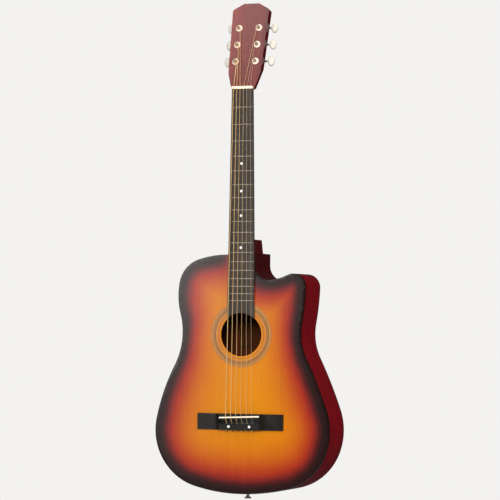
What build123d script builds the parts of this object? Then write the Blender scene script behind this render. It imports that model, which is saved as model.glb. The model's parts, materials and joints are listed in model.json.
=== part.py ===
from build123d import *
import os
from math import acos, atan2, cos, degrees, hypot, pi, radians, sin, tan

# Steel-string acoustic guitar with a cutaway, in millimetres. It stands upright:
# +Z runs up the neck, the soundboard faces -Y and the treble side is +X.
# The origin is the seat of the strap button, in the middle of the tail end.

# ---- scale and strings -------------------------------------------------------------
SCALE_LENGTH = 640.0      # nut to the middle of the saddle
SADDLE_Z = 150.5          # saddle line above the tail end
NUT_Z = SADDLE_Z + SCALE_LENGTH
STRING_DIAMETERS = (1.35, 1.07, 0.81, 0.61, 0.41, 0.30)   # low E to high E
STRING_PITCH_NUT = 7.0
STRING_PITCH_SADDLE = 10.8
STRING_HEIGHT_NUT = 7.5       # underside of the strings above the soundboard plane
STRING_HEIGHT_SADDLE = 11.5
STRING_BEND = 2.0             # bend radius of a string at its bridge hole and at the nut
TOUCH = 0.04                  # air left under a string, so that solids only nearly touch

# ---- body --------------------------------------------------------------------------
FACE_Y = -43.5            # outer face of the soundboard
BACK_Y = 43.5             # outer face of the back
TOP_THICK = 2.6
BACK_THICK = 2.6
SIDE_THICK = 2.2
LINING_WIDTH = 5.0
LINING_HEIGHT = 13.0
# The outline is a chain of tangent arcs from the middle of the tail: (radius, turn in
# degrees), where a positive turn bends towards the inside of the body.
BASS_LOWER = [(357.0, 15.6), (115.3, 52.9), (110.4, 33.1), (393.0, 16.3)]
BASS_UPPER = [(140.0, -43.0), (136.3, 25.7), (58.9, 62.0), (204.0, 17.4)]
TREBLE_LOWER = [(421.9, 13.1), (113.1, 57.8), (123.6, 38.5), (864.8, 7.1)]
CUTAWAY = [(110.7, -36.7), (516.4, 7.7), (26.4, 118.3), (99.4, -21.6), (29.2, -94.2)]
NECK_SEAT_X = -25.0       # bass end of the flat that the heel stands on
NECK_SEAT_RISE = 2.6      # flat above the end of the bass shoulder
SOUNDHOLE_Z = 310.3
SOUNDHOLE_R = 42.3
ROSETTE_RINGS = [(44.2, 45.0), (46.6, 47.8), (50.6, 60.4), (61.4, 63.2)]
ROSETTE_DEPTH = 0.8
BLOCK_HALF_WIDTH = 32.0
TAIL_BLOCK_HEIGHT = 20.0
NECK_BLOCK_Z = 415.0
TENON_HALF_WIDTH = 10.0
TENON_LENGTH = 16.0
TENON_BACK_Y = 15.0
TOP_BRACES_Z = (92.0, 252.0, 369.0)
BACK_BRACES_Z = (95.0, 205.0, 365.0)
BRACE_WIDTH = 8.0
BRACE_HEIGHT = 12.0
LABEL_X = -3.0
LABEL_SIZE = (65.0, 55.0, 0.3)

# ---- neck --------------------------------------------------------------------------
NUT_WIDTH = 43.0
BOARD_WIDTH_12 = 52.4     # width of the fretboard at the twelfth fret
BOARD_THICK = 6.0
BOARD_RADIUS = 400.0      # radius of the curved face of the fretboard
FRETS = 18
FRET_HEIGHT = 1.0
FRET_HALF_WIDTH = 1.1
FRET_TANG = 0.56          # thickness of the part of a fret that is pressed into its slot
DOTTED_FRETS = (5, 7, 9, 12)
DOT_DIAMETER = 5.0
NECK_THICK_NUT = 15.0     # wood behind the fretboard
NECK_THICK_HEEL = 17.0
HEEL_TOP_Z = 497.0
HEEL_BACK_Y = 38.0
HEEL_CURVE = 9.0
HEEL_HALF_BACK = (16.2, 11.4)     # half the width of the heel's back, at the body and at its top
TRUSS_ROD_SIZE = (6.0, 9.0)

# ---- headstock, in its own frame: x across, s along the face, n out of the face --------
HEAD_ANGLE = 15.0
HEAD_RISE = 3.0           # face of the headstock in front of the neck's glue plane
HEAD_THICK = 15.0
VENEER_THICK = 2.0
HEAD_CORNERS = [(22.2, -6.0), (33.6, 33.0), (38.3, 166.0), (15.8, 179.0)]
HEAD_ROUNDING = [0.0, 14.0, 4.0, 5.0]
HEAD_FLARE_RISE = 11.0    # how much higher the flare lies on the back than on the face
POST_X = 20.8
POST_S = (57.0, 92.0, 127.0)
NUT_LENGTH = 5.0

# ---- tuning machines -----------------------------------------------------------------
POST_R = 3.0
POST_TOP = 7.2
POST_TAIL_R = 2.0         # end of the post that the gear is riveted to
POST_BORE_R = 3.1
POST_WELL_R = 3.5         # bore through the headstock behind the bushing
STRING_HOLE_N = 5.7
STRING_HOLE_R = 0.85
WINDING_TOP = 4.2         # highest turn of a string on its post
WINDING_AIR = 0.12
BUSHING_R = 4.3
BUSHING_FLANGE_R = 6.8
BUSHING_FLANGE = 1.7
BUSHING_DEPTH = 8.0
PLATE_THICK = 1.0
PLATE_SCREWS_S = (48.0, 75.0, 110.0, 146.0)
SCREW_R = 1.2
BEARING_X = 7.0           # bearings of a worm, each side of its post
WORM_N = -22.0            # depth of the worm shafts behind the face
GEAR_TEETH = 14
GEAR_PITCH_R = 5.3
GEAR_THICK = 3.6
WORM_PITCH_R = 2.2
THREAD_HEIGHT = 0.7       # half the height of the worm's rounded thread
MESH_CLEARANCE = 0.28
GEAR_OFFSET = GEAR_PITCH_R + WORM_PITCH_R
WORM_LEAD = 2 * pi * GEAR_PITCH_R / GEAR_TEETH
WORM_TURNS = 3
JOURNAL_R = 1.3
BUTTON_X = 45.5
BUTTON_SIZE = (13.0, 20.0, 8.4)

# ---- bridge ----------------------------------------------------------------------------
BRIDGE_HALF = 89.4
BRIDGE_Z = (125.0, 156.4)
BRIDGE_HEIGHT = 9.0
WING_HEIGHT = 4.0
CHANNEL_Z = (137.0, 144.0)
SADDLE_HALF = 41.8
SADDLE_THICK = 3.0
SADDLE_SEAT = 4.5         # bottom of the saddle above the soundboard
SADDLE_SLANT = 2.26       # degrees, treble end higher up the body
TIE_HOLE_HEIGHT = 4.6
TIE_HOLE_R = 1.2
BALL_SIZE = (1.9, 0.7, 3.2)       # outer radius, hole radius and length of a string's ball end
RAISED_HALF = 42.0        # half the raised middle of the bridge
BOLT_X = 21.5
BOLT_Z = 131.3
BOLT_R = 1.5
CAP_R = 2.5
PLATE_UNDER_BRIDGE = (68.0, 40.0, 2.5)    # half length, width and thickness


# ---- helpers -----------------------------------------------------------------------------
def front(y):
    """Plane seen from the front at depth y: its x is X and its y is Z."""
    return Plane((0, y, 0), x_dir=(1, 0, 0), z_dir=(0, -1, 0))


def slab(face, y_front, y_back):
    """A front-view face given thickness between two depths."""
    return extrude(front(y_back) * face, y_back - y_front)


def block(x0, x1, y0, y1, z0, z1):
    """A box from its low and high coordinates."""
    centre = Pos((x0 + x1) / 2, (y0 + y1) / 2, (z0 + z1) / 2)
    return centre * Box(x1 - x0, y1 - y0, z1 - z0)


def rod_y(x, z, radius, y_front, y_back):
    """A cylinder that runs straight back into the guitar."""
    return slab(Pos(x, z) * Circle(radius), y_front, y_back)


def fret_z(number):
    """Height of a fret: each one shortens the string by a twelfth of an octave."""
    return SADDLE_Z + SCALE_LENGTH * 2 ** (-number / 12)


def board_half_width(z):
    """Half the width of the fretboard, which widens evenly away from the nut."""
    widening = (BOARD_WIDTH_12 - NUT_WIDTH) / (NUT_Z - fret_z(12))
    return (NUT_WIDTH + widening * (NUT_Z - z)) / 2


def crown_drop(x):
    """How far the curved fretboard falls away at x from its middle."""
    return x * x / (2 * BOARD_RADIUS)


def save(name, shape):
    """Write one node."""
    export_step(shape, f"parts/{name}.step")


# ---- body outline ----------------------------------------------------------------------
def arc_chain(arcs, inset):
    """Tangent arcs from the tail for the +X side, set inwards by inset, and their end."""
    x, z, heading = 0.0, inset, 0.0
    edges = []
    for radius, turn in arcs:
        side = 1 if turn > 0 else -1
        true_radius = radius - side * inset
        cx = x - side * true_radius * sin(heading)
        cz = z + side * true_radius * cos(heading)
        points = [(x, z)]
        for share in (0.5, 1.0):
            angle = heading + radians(turn) * share
            px = cx + side * true_radius * sin(angle)
            pz = cz - side * true_radius * cos(angle)
            points.append((px, pz))
        edges.append(points)
        x, z = points[2]
        heading += radians(turn)
    return edges, (x, z)


def outline(inset=0.0):
    """The body seen from the front, set inwards by inset."""
    bass, (bass_x, shoulder) = arc_chain(BASS_LOWER + BASS_UPPER, inset)
    treble, (wall_x, wall_z) = arc_chain(TREBLE_LOWER + CUTAWAY, inset)
    top = shoulder + NECK_SEAT_RISE
    edges = [ThreePointArc(*points) for points in treble]
    edges.append(Polyline((wall_x, wall_z), (wall_x, top), (NECK_SEAT_X, top), (-bass_x, shoulder)))
    for points in bass:
        edges.append(ThreePointArc(*[(-x, z) for x, z in points]))
    return make_face(Curve() + edges)


BODY_TOP = arc_chain(BASS_LOWER + BASS_UPPER, 0.0)[1][1] + NECK_SEAT_RISE
TOP_INSIDE_Y = FACE_Y + TOP_THICK
BACK_INSIDE_Y = BACK_Y - BACK_THICK


def make_soundboard():
    board = slab(outline(), FACE_Y, TOP_INSIDE_Y)
    board -= rod_y(0, SOUNDHOLE_Z, SOUNDHOLE_R, FACE_Y - 1, TOP_INSIDE_Y + 1)
    for x in (-BOLT_X, BOLT_X):
        board -= rod_y(x, BOLT_Z, BOLT_R, FACE_Y - 1, TOP_INSIDE_Y + 1)
    return board - make_rosette()


def make_rosette():
    rings = []
    for inner, outer in ROSETTE_RINGS:
        ring = rod_y(0, SOUNDHOLE_Z, outer, FACE_Y, FACE_Y + ROSETTE_DEPTH)
        ring -= rod_y(0, SOUNDHOLE_Z, inner, FACE_Y, FACE_Y + ROSETTE_DEPTH)
        rings.append(ring)
    return Part() + rings


def make_back():
    return slab(outline(), BACK_INSIDE_Y, BACK_Y)


def screw_tunnel():
    """The hole that the strap button's screw cuts through the tail."""
    return Pos(0, 0, 11) * Cylinder(1.6, 24)


def make_side(direction):
    """One bent side, from the tail seam to the neck seam."""
    wall = slab(outline() - outline(SIDE_THICK), TOP_INSIDE_Y, BACK_INSIDE_Y)
    x0, x1 = sorted((0, direction * 400))
    wall &= block(x0, x1, -100, 100, -10, 600)
    return wall - tenon() - screw_tunnel()


def tenon():
    """The tongue of the neck that is glued into the neck block."""
    half = TENON_HALF_WIDTH
    return block(-half, half, TOP_INSIDE_Y, TENON_BACK_Y, BODY_TOP - TENON_LENGTH, BODY_TOP)


def block_zone(z_low, z_high):
    """The width of the tail and neck blocks, between two heights."""
    return block(-BLOCK_HALF_WIDTH, BLOCK_HALF_WIDTH, -100, 100, z_low, z_high)


def body_inside(inset):
    """The space between the soundboard and the back, set in from the outline."""
    return slab(outline(inset), TOP_INSIDE_Y, BACK_INSIDE_Y)


def make_linings(near, far):
    """Strips that widen the glue joint of the sides with the soundboard or the back."""
    ring = slab(outline(SIDE_THICK) - outline(SIDE_THICK + LINING_WIDTH), near, far)
    return ring - block_zone(-10, TAIL_BLOCK_HEIGHT) - block_zone(NECK_BLOCK_Z, 600)


def top_bar(z, width, height, half_length=400):
    """A bar glued across the inside of the soundboard."""
    far = TOP_INSIDE_Y + height
    return block(-half_length, half_length, TOP_INSIDE_Y, far, z - width / 2, z + width / 2)


def make_top_braces():
    bars = [top_bar(z, BRACE_WIDTH, BRACE_HEIGHT) for z in TOP_BRACES_Z]
    return Part() + [bar & body_inside(SIDE_THICK + LINING_WIDTH) for bar in bars]


def make_back_braces():
    near = BACK_INSIDE_Y - BRACE_HEIGHT
    half = BRACE_WIDTH / 2
    bars = [block(-400, 400, near, BACK_INSIDE_Y, z - half, z + half) for z in BACK_BRACES_Z]
    return Part() + [bar & body_inside(SIDE_THICK + LINING_WIDTH) for bar in bars]


def make_bridge_plate():
    """Hardwood plate under the bridge, inside the soundboard."""
    half_length, width, thick = PLATE_UNDER_BRIDGE
    plate = top_bar((BRIDGE_Z[0] + BRIDGE_Z[1]) / 2, width, thick, half_length)
    for x in (-BOLT_X, BOLT_X):
        plate -= rod_y(x, BOLT_Z, BOLT_R, FACE_Y, FACE_Y + 20)
    return plate


def make_label():
    """Paper label glued to the inside of the back, seen through the soundhole."""
    width, height, thick = LABEL_SIZE
    return Pos(LABEL_X, BACK_INSIDE_Y - thick / 2, SOUNDHOLE_Z) * Box(width, thick, height)


# ---- neck ----------------------------------------------------------------------------------
HEAD = Plane(
    (0, FACE_Y - HEAD_RISE, NUT_Z),
    x_dir=(1, 0, 0),
    z_dir=(0, -cos(radians(HEAD_ANGLE)), sin(radians(HEAD_ANGLE))),
)


def shaft_section(z, thickness):
    """The rounded back of the neck: half an ellipse behind the glue plane."""
    half = board_half_width(z)
    oval = Ellipse(half, thickness) & Pos(0, thickness) * Rectangle(4 * half, 2 * thickness)
    return Plane((0, FACE_Y, z), x_dir=(1, 0, 0), z_dir=(0, 0, 1)) * oval


def heel_section(z, half_back):
    """The heel seen from above: as wide as the fretboard in front, slim and round behind."""
    half = board_half_width(z)
    waist_y = FACE_Y + 24
    right = [
        Line((0, FACE_Y), (half, FACE_Y)),
        Spline((half, FACE_Y), (half_back, waist_y), tangents=[(-0.15, 1), (0, 1)]),
        Line((half_back, waist_y), (half_back, HEEL_BACK_Y - half_back / 2)),
        Spline((half_back, HEEL_BACK_Y - half_back / 2), (0, HEEL_BACK_Y), tangents=[(0, 1), (-1, 0)]),
    ]
    left = [mirror(edge, Plane.YZ) for edge in right]
    section = make_face(Curve() + right + left)
    return Plane((0, 0, z), x_dir=(1, 0, 0), z_dir=(0, 0, 1)) * section


def make_heel():
    """Heel that stands on the body's neck seat and curves into the back of the neck."""
    top = HEEL_TOP_Z + HEEL_CURVE
    half_low, half_high = HEEL_HALF_BACK
    body = loft([heel_section(BODY_TOP, half_low), heel_section(top, half_high)])
    neck_back = FACE_Y + NECK_THICK_HEEL
    profile = FilletPolyline(
        (FACE_Y, BODY_TOP),
        (HEEL_BACK_Y + 1, BODY_TOP),
        (HEEL_BACK_Y + 1, HEEL_TOP_Z),
        (neck_back, HEEL_TOP_Z),
        (neck_back, top),
        (FACE_Y, top),
        radius=[0.0, 0.0, 8.0, HEEL_CURVE - 0.5, 0.0, 0.0],
        close=True,
    )
    side_view = extrude(Plane.YZ * make_face(profile), 40, both=True)
    return body & side_view


def head_outline(rise=0.0):
    """The headstock's outline, with its flare moved up along the sides."""
    (low_x, low_s), (flare_x, flare_s), shoulder, top = HEAD_CORNERS
    side_slope = (shoulder[0] - flare_x) / (shoulder[1] - flare_s)
    right = [(low_x, low_s + rise), (flare_x + rise * side_slope, flare_s + rise), shoulder, top]
    left = [(-x, s) for x, s in reversed(right)]
    rounding = HEAD_ROUNDING + list(reversed(HEAD_ROUNDING))
    return make_face(FilletPolyline(*right, *left, radius=rounding, close=True))


def post_places():
    """Posts 1 to 3 are on the bass side and 4 to 6 on the treble side, as the strings lie."""
    bass = [(-POST_X, s) for s in POST_S]
    treble = [(POST_X, s) for s in reversed(POST_S)]
    return bass + treble


def head_rod(x, s, radius, n_low, n_high):
    """A cylinder square to the headstock's face."""
    return HEAD * Pos(x, s, (n_low + n_high) / 2) * Cylinder(radius, n_high - n_low)


def head_block(x0, x1, s0, s1, n0, n1):
    return HEAD * block(x0, x1, s0, s1, n0, n1)


def above_nut(shape):
    """Cut away what would stand where the nut is."""
    seat = block(-60, 60, FACE_Y - 30, FACE_Y, NUT_Z - 40, NUT_Z + NUT_LENGTH)
    return shape - seat


def make_veneer():
    """Thin face of the headstock."""
    veneer = above_nut(HEAD * extrude(head_outline(), -VENEER_THICK))
    for x, s in post_places():
        veneer -= head_rod(x, s, BUSHING_R, -BUSHING_DEPTH, 1)
    return veneer


def make_neck():
    """Shaft, headstock, heel and tenon in one piece."""
    shaft_top = NUT_Z + 9.0
    shaft = loft(
        [shaft_section(BODY_TOP, NECK_THICK_HEEL + 0.3), shaft_section(shaft_top, NECK_THICK_NUT)]
    )
    head_back = Pos(0, 0, -HEAD_THICK) * head_outline(HEAD_FLARE_RISE)
    head = HEAD * loft([Pos(0, 0, -VENEER_THICK) * head_outline(), head_back], ruled=True)
    low_corner = block(-60, 60, -100, 100, NUT_Z - 60, NUT_Z - 1)
    neck = shaft + (above_nut(head) - low_corner) + make_heel() + tenon()
    for x, s in post_places():
        neck -= head_rod(x, s, BUSHING_R, -BUSHING_DEPTH, 1)
        neck -= head_rod(x, s, POST_WELL_R, -HEAD_THICK - 1, 0)
    for x, s in plate_screw_places():
        neck -= head_rod(x, s, SCREW_R, -HEAD_THICK - 1, -HEAD_THICK + 8)
    return neck - make_truss_rod() - make_veneer()


def make_truss_rod():
    """Two-way steel rod in its channel, closed in by the fretboard."""
    width, depth = TRUSS_ROD_SIZE
    return block(-width / 2, width / 2, FACE_Y, FACE_Y + depth, BODY_TOP + 6, NUT_Z - 12)


def board_blank():
    """The fretboard's outline, with its end cut to the rim of the soundhole."""
    end_half = board_half_width(SOUNDHOLE_Z)
    corners = [
        (-end_half, SOUNDHOLE_Z),
        (end_half, SOUNDHOLE_Z),
        (NUT_WIDTH / 2, NUT_Z),
        (-NUT_WIDTH / 2, NUT_Z),
    ]
    return Polygon(*corners, align=None) - Pos(0, SOUNDHOLE_Z) * Circle(SOUNDHOLE_R)


def board_crown_axis():
    return Axis((0, FACE_Y - BOARD_THICK + BOARD_RADIUS, 0), (0, 0, 1))


def fret_ring(number, with_crown):
    """One fret carried right round the fretboard's curve, or only the slot for its tang."""
    z = fret_z(number)
    y = FACE_Y - BOARD_THICK
    if not with_crown:
        slot = Pos(y + 0.9, z) * Rectangle(2.2, FRET_TANG)
        return revolve(Plane.YZ * slot, board_crown_axis())
    low, high = (y, z - FRET_HALF_WIDTH), (y, z + FRET_HALF_WIDTH)
    bead = make_face([ThreePointArc(low, (y - FRET_HEIGHT, z), high), Line(high, low)])
    tang = Pos(y + 1.0, z) * Rectangle(2.0, FRET_TANG)
    return revolve(Plane.YZ * (tang + bead), board_crown_axis())


def make_fretboard():
    board = slab(board_blank(), FACE_Y - BOARD_THICK - 1, FACE_Y)
    crown = Pos(0, board_crown_axis().position.Y, 500) * Cylinder(BOARD_RADIUS, 1200)
    board &= crown
    for number in range(1, FRETS + 1):
        board -= fret_ring(number, with_crown=False)
    return board - make_dots()


def make_frets():
    width_limit = slab(board_blank(), FACE_Y - 20, FACE_Y)
    return Part() + [fret_ring(n, with_crown=True) & width_limit for n in range(1, FRETS + 1)]


def make_dots():
    dots = []
    for number in DOTTED_FRETS:
        z = (fret_z(number - 1) + fret_z(number)) / 2
        y = FACE_Y - BOARD_THICK
        dots.append(rod_y(0, z, DOT_DIAMETER / 2, y, y + 1.5))
    return Part() + dots


# ---- strings ---------------------------------------------------------------------------------
def string_x(index, pitch):
    return (index - 2.5) * pitch


def saddle_z(x):
    return SADDLE_Z - 0.6 + x * tan(radians(SADDLE_SLANT))


def local_to_world(x, s, n):
    return HEAD.from_local_coords(Vector(x, s, n))


def winding_places(index):
    """Heights of a string's turns on its post, lowest first."""
    diameter = STRING_DIAMETERS[index]
    turns = 2 if diameter > 1.0 else 3 if diameter > 0.5 else 5
    return [WINDING_TOP - 0.96 * diameter * k for k in reversed(range(turns))]


def string_end(index, nut_point):
    """Where a string comes off its post: the tangent on the side of the middle line."""
    post_x, post_s = post_places()[index]
    radius = POST_R + WINDING_AIR + STRING_DIAMETERS[index] / 2
    nut_local = HEAD.to_local_coords(nut_point)
    dx, ds = nut_local.X - post_x, nut_local.Y - post_s
    side = 1 if post_x < 0 else -1
    angle = atan2(ds, dx) + side * acos(radius / hypot(dx, ds))
    height = winding_places(index)[-1]
    return local_to_world(post_x + radius * cos(angle), post_s + radius * sin(angle), height)


def nut_point(index):
    x = string_x(index, STRING_PITCH_NUT)
    lift = STRING_HEIGHT_NUT + STRING_DIAMETERS[index] / 2 + TOUCH
    return Vector(x, FACE_Y - lift + crown_drop(x), NUT_Z)


def crown_bend(index):
    """Bend radius of a string that lies round the top of the saddle."""
    return SADDLE_THICK / 2 + STRING_DIAMETERS[index] / 2 + 2 * TOUCH


def string_points(index):
    """Bridge hole, saddle, nut and post."""
    x = string_x(index, STRING_PITCH_SADDLE)
    hole_y = FACE_Y - TIE_HOLE_HEIGHT
    hole_z = CHANNEL_Z[0] + 1.2
    rise = crown_bend(index) - SADDLE_THICK / 2
    crown_y = FACE_Y - STRING_HEIGHT_SADDLE + crown_drop(x) - rise
    turn = atan2(hole_y - crown_y, saddle_z(x) - hole_z)
    corner_z = saddle_z(x) - crown_bend(index) * tan(turn / 2)
    return [
        Vector(x, hole_y, BRIDGE_Z[0] + TOUCH),
        Vector(x, hole_y, hole_z),
        Vector(x, crown_y, corner_z),
        nut_point(index),
        string_end(index, nut_point(index)),
    ]


def make_string(index):
    """One string from its bridge hole to its turns round the post."""
    radius = STRING_DIAMETERS[index] / 2
    points = string_points(index)
    route = FilletPolyline(*points, radius=[STRING_BEND, crown_bend(index), STRING_BEND])
    start = Plane(points[0], z_dir=points[1] - points[0])
    run = sweep(start * Circle(radius), path=route)
    turn_r = POST_R + WINDING_AIR + radius
    profile = Sketch() + [Pos(turn_r, n) * Circle(radius * 1.04) for n in winding_places(index)]
    profile &= Pos(POST_R + 0.1 + 5, 0) * Rectangle(10, 40)
    coil = revolve(Plane.XZ * profile, Axis.Z)
    post_x, post_s = post_places()[index]
    return run + HEAD * Pos(post_x, post_s, 0) * coil


def make_ball_ends():
    """The brass balls that stop the strings at the tail side of the bridge."""
    outer, hole, length = BALL_SIZE
    ball = Rot(0, 90, 0) * (Cylinder(outer, length) - Cylinder(hole, length))
    places = [string_x(index, STRING_PITCH_SADDLE) for index in range(6)]
    return Part() + [Pos(x, FACE_Y - TIE_HOLE_HEIGHT, BRIDGE_Z[0] - outer) * ball for x in places]


def make_nut():
    """The nut, with a slot open to the front for each string."""
    half = NUT_WIDTH / 2
    top = FACE_Y - STRING_HEIGHT_NUT - 1.0
    edge = top + 0.8
    shape = make_face(
        [
            Line((-half, FACE_Y), (half, FACE_Y)),
            Line((half, FACE_Y), (half, edge)),
            ThreePointArc((half, edge), (0, top), (-half, edge)),
            Line((-half, edge), (-half, FACE_Y)),
        ]
    )
    nut = extrude(Plane((0, 0, NUT_Z)) * shape, NUT_LENGTH)
    for index in range(6):
        start = nut_point(index)
        direction = string_end(index, start) - start
        slot_plane = Plane(start, x_dir=direction.cross(Vector(0, 1, 0)), z_dir=direction)
        slot_r = STRING_DIAMETERS[index] / 2 + TOUCH
        channel = Pos(0, 0, 3) * Cylinder(slot_r, 14)
        open_side = Pos(0, 2, 3) * Box(2 * slot_r, 4, 14)
        nut -= slot_plane * (channel + open_side)
    return nut


# ---- bridge -----------------------------------------------------------------------------------
def make_bridge():
    """Low wings, scooped ramps and a raised middle that a channel splits in two."""
    top = FACE_Y - BRIDGE_HEIGHT
    wing = FACE_Y - WING_HEIGHT
    tip = FACE_Y - WING_HEIGHT + 1.2
    half = RAISED_HALF
    right = [
        Line((BRIDGE_HALF, FACE_Y), (BRIDGE_HALF, tip)),
        Spline((BRIDGE_HALF, tip), (58, wing), (half, top), tangents=[(-1, -0.06), (-1, -1.6)]),
    ]
    left = [mirror(edge, Plane.YZ) for edge in right]
    flats = [Line((half, top), (-half, top)), Line((-BRIDGE_HALF, FACE_Y), (BRIDGE_HALF, FACE_Y))]
    profile = make_face(Curve() + right + left + flats)
    bridge = extrude(Plane((0, 0, BRIDGE_Z[0])) * profile, BRIDGE_Z[1] - BRIDGE_Z[0])
    bridge -= block(-half, half, top - 1, FACE_Y - 3.2, CHANNEL_Z[0], CHANNEL_Z[1])
    ramp_z = CHANNEL_Z[1] - 0.1
    ramp = Polygon((top - 0.1, ramp_z), (top + 2.6, ramp_z), (top - 0.1, ramp_z + 4.1), align=None)
    bridge -= extrude(Plane.YZ * ramp, 31, both=True)
    for index in range(6):
        x = string_x(index, STRING_PITCH_SADDLE)
        bridge -= Pos(x, FACE_Y - TIE_HOLE_HEIGHT, BRIDGE_Z[0] + 5) * Cylinder(TIE_HOLE_R, 20)
    for x in (-BOLT_X, BOLT_X):
        bridge -= rod_y(x, BOLT_Z, CAP_R, top - 1, top + 3.0)
        bridge -= rod_y(x, BOLT_Z, BOLT_R, top - 1, FACE_Y + 1)
    return bridge - saddle_blank()


def on_saddle_line(shape):
    """Turn a shape to the saddle's slant and lift it to its place."""
    return Pos(0, 0, SADDLE_Z - 0.6) * Rot(0, -SADDLE_SLANT, 0) * shape


def saddle_blank():
    """The saddle with its curved top, before its top edges are rounded."""
    half = SADDLE_HALF
    bottom = FACE_Y - SADDLE_SEAT
    top = FACE_Y - STRING_HEIGHT_SADDLE
    edge = top + crown_drop(half)
    shape = make_face(
        [
            Line((-half, bottom), (half, bottom)),
            Line((half, bottom), (half, edge)),
            ThreePointArc((half, edge), (0, top), (-half, edge)),
            Line((-half, edge), (-half, bottom)),
        ]
    )
    bar = extrude(Plane((0, 0, -SADDLE_THICK / 2)) * shape, SADDLE_THICK)
    return on_saddle_line(bar)


def make_saddle():
    saddle = saddle_blank()
    crown_edges = saddle.edges().filter_by(GeomType.CIRCLE)
    return fillet(crown_edges, SADDLE_THICK / 2 - 0.05)


def make_bridge_bolts():
    """Two bolts through the bridge, the soundboard and the bridge plate, each with its nut."""
    head_top = FACE_Y - BRIDGE_HEIGHT + 1.0
    nut_front = TOP_INSIDE_Y + PLATE_UNDER_BRIDGE[2]
    tip = nut_front + 4.0
    pieces = []
    for x in (-BOLT_X, BOLT_X):
        bolt = rod_y(x, BOLT_Z, CAP_R, head_top, head_top + 2.0)
        bolt += rod_y(x, BOLT_Z, BOLT_R, head_top + 2.0, tip)
        hexagon = RegularPolygon(3.2, 6) - Circle(BOLT_R + 0.1)
        nut = slab(Pos(x, BOLT_Z) * hexagon, nut_front, tip - 1.2)
        pieces += [bolt, nut]
    return Part() + pieces


def make_bolt_caps():
    """Pale caps that hide the bolt heads."""
    top = FACE_Y - BRIDGE_HEIGHT
    caps = []
    for x in (-BOLT_X, BOLT_X):
        cap = rod_y(x, BOLT_Z, CAP_R, top - 0.3, top + 1.0)
        caps.append(fillet(cap.edges().sort_by(Axis.Y)[0], 0.25))
    return Part() + caps


# ---- tuning machines ---------------------------------------------------------------------------
def plate_x():
    """Sides of the plate on the treble side; the bass side mirrors them."""
    return POST_X - 8.0, POST_X + 8.2


def plate_screw_places():
    places = []
    for side in (-1, 1):
        for s in PLATE_SCREWS_S:
            places.append((side * (POST_X - 4.6), s))
    return places


def make_plates():
    """Two plates, each with three pairs of bearings folded up for the worms."""
    plates = []
    inner, outer = plate_x()
    low, high = -HEAD_THICK - PLATE_THICK, -HEAD_THICK
    for side in (-1, 1):
        x0, x1 = sorted((side * inner, side * outer))
        plate = head_block(x0, x1, POST_S[0] - 14, POST_S[2] + 23, low, high)
        for s in POST_S:
            plate -= head_rod(side * POST_X, s, POST_BORE_R, low - 1, high + 1)
            for offset in (-BEARING_X, BEARING_X):
                x = side * (POST_X + offset)
                tab = head_block(x - 0.8, x + 0.8, s + 4.5, s + 10.5, WORM_N - 3.2, low)
                plate += tab
                plate -= worm_place(x, s) * Cylinder(JOURNAL_R + 0.08, 4)
        plates.append(plate)
    holes = [head_rod(x, s, SCREW_R, low - 1, high + 1) for x, s in plate_screw_places()]
    return Part() + [plate - holes for plate in plates]


def make_plate_screws():
    """Slotted screws that hold the plates to the back of the headstock."""
    screws = []
    back = -HEAD_THICK - PLATE_THICK
    for x, s in plate_screw_places():
        screw = head_rod(x, s, SCREW_R, back, -HEAD_THICK + 8)
        head = head_rod(x, s, 2.3, back - 1.3, back)
        slot = head_block(x - 3, x + 3, s - 0.3, s + 0.3, back - 2, back - 0.7)
        screws.append(screw + head - slot)
    return Part() + screws


def make_bushings():
    """Pressed-in ferrules that the string posts turn in."""
    bushings = []
    for x, s in post_places():
        sleeve = head_rod(x, s, BUSHING_R, -BUSHING_DEPTH, 0)
        flange = head_rod(x, s, BUSHING_FLANGE_R, 0, BUSHING_FLANGE)
        flange = fillet(flange.edges().sort_by(Axis(flange.center(), HEAD.z_dir))[-1], 0.9)
        bushings.append(sleeve + flange - head_rod(x, s, POST_BORE_R, -BUSHING_DEPTH - 1, 3))
    return Part() + bushings


def worm_place(x, s):
    """The frame of a worm at a post: its z runs along +X."""
    return HEAD * Pos(x, s + GEAR_OFFSET, WORM_N) * Rot(0, 90, 0)


def make_post(x, s):
    """String post with its cross hole, stepped down and riveted over the gear."""
    gear_top = WORM_N + GEAR_THICK / 2
    gear_low = gear_top - GEAR_THICK
    post = head_rod(x, s, POST_R, gear_top, POST_TOP)
    post = chamfer(post.edges().sort_by(Axis(post.center(), HEAD.z_dir))[-1], 0.5)
    post += head_rod(x, s, POST_TAIL_R, gear_low, gear_top)
    post += head_rod(x, s, POST_TAIL_R + 0.6, gear_low - 0.7, gear_low)
    string_hole = HEAD * Pos(x, s, STRING_HOLE_N) * Rot(90, 0, 0) * Cylinder(STRING_HOLE_R, 10)
    return post - string_hole


def make_gear(x, s):
    """Gear with rounded teeth, twisted to follow the worm's thread."""
    steps = 4 * GEAR_TEETH
    rim = []
    for step in range(steps):
        angle = radians(90) + 2 * pi * step / steps
        radius = GEAR_PITCH_R - MESH_CLEARANCE + 0.62 * cos(GEAR_TEETH * (angle - radians(90)))
        rim.append((radius * cos(angle), radius * sin(angle)))
    face = make_face(Spline(*rim, periodic=True)).face()
    slope = WORM_LEAD / (2 * pi * WORM_PITCH_R)
    twist = degrees(slope * GEAR_THICK / GEAR_PITCH_R)
    blank = Solid.extrude_linear_with_rotation(face, (0, 0, 0), (0, 0, GEAR_THICK), twist)
    blank = Pos(0, 0, -GEAR_THICK / 2) * Rot(0, 0, -twist / 2) * blank
    return HEAD * Pos(x, s, WORM_N) * (Part() + blank - Cylinder(POST_TAIL_R, 10))


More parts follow.
